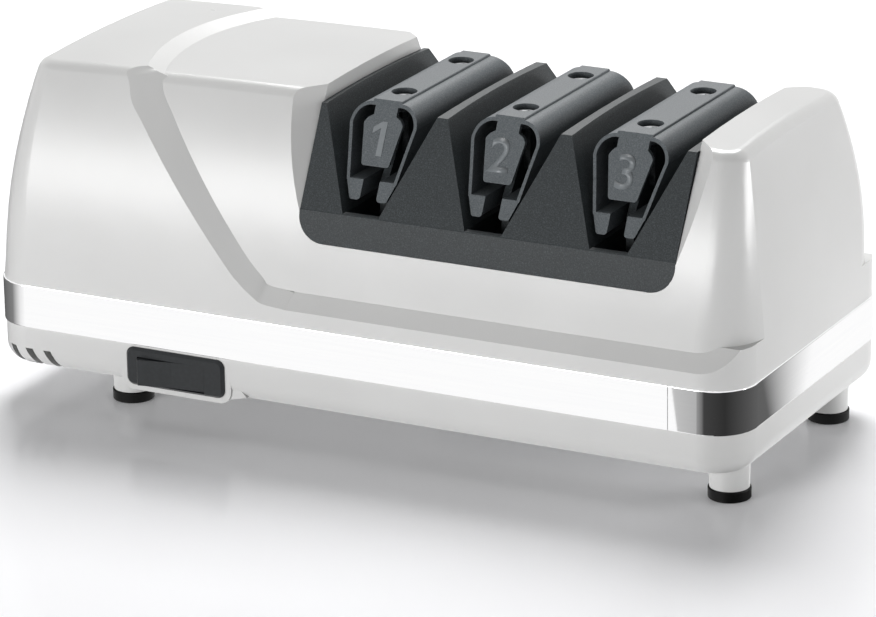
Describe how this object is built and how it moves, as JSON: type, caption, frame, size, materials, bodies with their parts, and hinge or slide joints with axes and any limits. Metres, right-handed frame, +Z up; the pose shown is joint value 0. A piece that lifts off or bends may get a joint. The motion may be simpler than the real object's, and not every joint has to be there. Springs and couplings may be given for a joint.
{
  "type": "electric knife sharpener",
  "caption": "Table-top electric knife sharpener with three guided stages, white housing, polished trim band and a side rocker switch.",
  "frame": {"origin": "on the table under the middle of the trim band", "axes": "+X to the right along the length, +Y to the back, +Z up"},
  "size_m": [0.25, 0.1118, 0.107],
  "materials": {
    "white_housing": "gloss",
    "polished_trim": "mirror",
    "grained_insert": "fine moulded grain",
    "grained_guide": "fine moulded grain",
    "diamond_disc": "diamond coated",
    "polishing_disc": "abrasive filled",
    "spring_steel": "satin",
    "plated_screws": "zinc plated",
    "black_switch": "satin",
    "plated_terminals": "tin plated",
    "black_rubber": "matt",
    "ground_steel": "ground",
    "electrical_steel": "stacked laminations",
    "cast_aluminium": "die cast",
    "grey_nylon": "satin",
    "enamelled_copper": "enamelled wire",
    "bronze_bush": "sintered",
    "wire_insulation": "smooth",
    "ferrite_magnet": "matt"
  },
  "bodies": {
    "housing": {"base_shell": "white_housing", "coil_former": "grey_nylon", "cord_gland": "black_rubber", "end_bracket": "cast_aluminium", "end_bracket_screws": "plated_screws", "end_bush": "bronze_bush", "field_coil": "enamelled_copper", "filings_magnet": "ferrite_magnet", "foot_ring_back_left": "black_rubber", "foot_ring_back_right": "black_rubber", "foot_ring_front_left": "black_rubber", "foot_ring_front_right": "black_rubber", "guide_crown_1": "grained_guide", "guide_crown_2": "grained_guide", "guide_crown_3": "grained_guide", "guide_insert": "grained_insert", "guide_screws": "plated_screws", "housing_screws": "plated_screws", "insert_screws": "plated_screws", "motor_bolts": "plated_screws", "motor_bracket_left": "cast_aluminium", "motor_bracket_right": "cast_aluminium", "motor_bushes": "bronze_bush", "motor_leads": "wire_insulation", "motor_screws": "plated_screws", "stator_core": "electrical_steel", "switch_bezel": "black_switch", "switch_body": "black_switch", "switch_terminals": "plated_terminals", "terminal_block": "grey_nylon", "terminal_screws": "plated_screws", "top_housing": "white_housing", "trim_band": "polished_trim"},
    "spindle": {"spindle_shaft": "ground_steel", "drive_keys": "spring_steel", "retaining_rings": "spring_steel", "rotor_core": "electrical_steel", "rotor_cage": "cast_aluminium", "cooling_fan": "grey_nylon", "disc_spring_1": "spring_steel", "disc_spring_2": "spring_steel", "disc_spring_3": "spring_steel"},
    "disc_1_left": {"sharpening_disc_1_left": "diamond_disc"},
    "arm_1_left": {"guide_arm_1_left": "grained_guide"},
    "disc_1_right": {"sharpening_disc_1_right": "diamond_disc"},
    "arm_1_right": {"guide_arm_1_right": "grained_guide"},
    "disc_2_left": {"sharpening_disc_2_left": "diamond_disc"},
    "arm_2_left": {"guide_arm_2_left": "grained_guide"},
    "disc_2_right": {"sharpening_disc_2_right": "diamond_disc"},
    "arm_2_right": {"guide_arm_2_right": "grained_guide"},
    "disc_3_left": {"sharpening_disc_3_left": "polishing_disc"},
    "arm_3_left": {"guide_arm_3_left": "grained_guide"},
    "disc_3_right": {"sharpening_disc_3_right": "polishing_disc"},
    "arm_3_right": {"guide_arm_3_right": "grained_guide"},
    "rocker": {"switch_rocker": "black_switch"},
    "filings_cover_body": {"filings_cover": "grey_nylon"}
  },
  "joints": [
    {"name": "spindle_spin", "type": "hinge", "parent": "housing", "child": "spindle", "pos_m": [0, 0, 0.052], "axis": [1, 0, 0], "continuous": true},
    {"name": "disc_1_left_slide", "type": "slide", "parent": "spindle", "child": "disc_1_left", "axis": [1, 0, 0], "range_m": [0, 0.0008], "stiffness_N_per_m": 600, "springref_m": -0.0015},
    {"name": "arm_1_left_flex", "type": "hinge", "parent": "housing", "child": "arm_1_left", "pos_m": [-0.00841, 0, 0.0894], "axis": [0, -1, 0], "range_deg": [0, 5], "stiffness_Nm_per_rad": 0.02, "springref_deg": -5.73},
    {"name": "disc_1_right_slide", "type": "slide", "parent": "spindle", "child": "disc_1_right", "axis": [-1, 0, 0], "range_m": [0, 0.0008], "stiffness_N_per_m": 600, "springref_m": -0.0015},
    {"name": "arm_1_right_flex", "type": "hinge", "parent": "housing", "child": "arm_1_right", "pos_m": [0.01001, 0, 0.0894], "axis": [0, 1, 0], "range_deg": [0, 5], "stiffness_Nm_per_rad": 0.02, "springref_deg": -5.73},
    {"name": "disc_2_left_slide", "type": "slide", "parent": "spindle", "child": "disc_2_left", "axis": [1, 0, 0], "range_m": [0, 0.0008], "stiffness_N_per_m": 600, "springref_m": -0.0015},
    {"name": "arm_2_left_flex", "type": "hinge", "parent": "housing", "child": "arm_2_left", "pos_m": [0.03159, 0, 0.0894], "axis": [0, -1, 0], "range_deg": [0, 5], "stiffness_Nm_per_rad": 0.02, "springref_deg": -5.73},
    {"name": "disc_2_right_slide", "type": "slide", "parent": "spindle", "child": "disc_2_right", "axis": [-1, 0, 0], "range_m": [0, 0.0008], "stiffness_N_per_m": 600, "springref_m": -0.0015},
    {"name": "arm_2_right_flex", "type": "hinge", "parent": "housing", "child": "arm_2_right", "pos_m": [0.05001, 0, 0.0894], "axis": [0, 1, 0], "range_deg": [0, 5], "stiffness_Nm_per_rad": 0.02, "springref_deg": -5.73},
    {"name": "disc_3_left_slide", "type": "slide", "parent": "spindle", "child": "disc_3_left", "axis": [1, 0, 0], "range_m": [0, 0.0008], "stiffness_N_per_m": 600, "springref_m": -0.0015},
    {"name": "arm_3_left_flex", "type": "hinge", "parent": "housing", "child": "arm_3_left", "pos_m": [0.07115, 0, 0.0894], "axis": [0, -1, 0], "range_deg": [0, 5], "stiffness_Nm_per_rad": 0.02, "springref_deg": -5.73},
    {"name": "disc_3_right_slide", "type": "slide", "parent": "spindle", "child": "disc_3_right", "axis": [-1, 0, 0], "range_m": [0, 0.0008], "stiffness_N_per_m": 600, "springref_m": -0.0015},
    {"name": "arm_3_right_flex", "type": "hinge", "parent": "housing", "child": "arm_3_right", "pos_m": [0.09045, 0, 0.0894], "axis": [0, 1, 0], "range_deg": [0, 5], "stiffness_Nm_per_rad": 0.02, "springref_deg": -5.73},
    {"name": "rocker_tilt", "type": "hinge", "parent": "housing", "child": "rocker", "pos_m": [-0.0607, -0.053, 0.01675], "axis": [0, 0, 1], "range_deg": [-16, 0]},
    {"name": "filings_cover_slide", "type": "slide", "parent": "housing", "child": "filings_cover_body", "axis": [1, 0, 0], "range_m": [0, 0.03]}
  ]
}
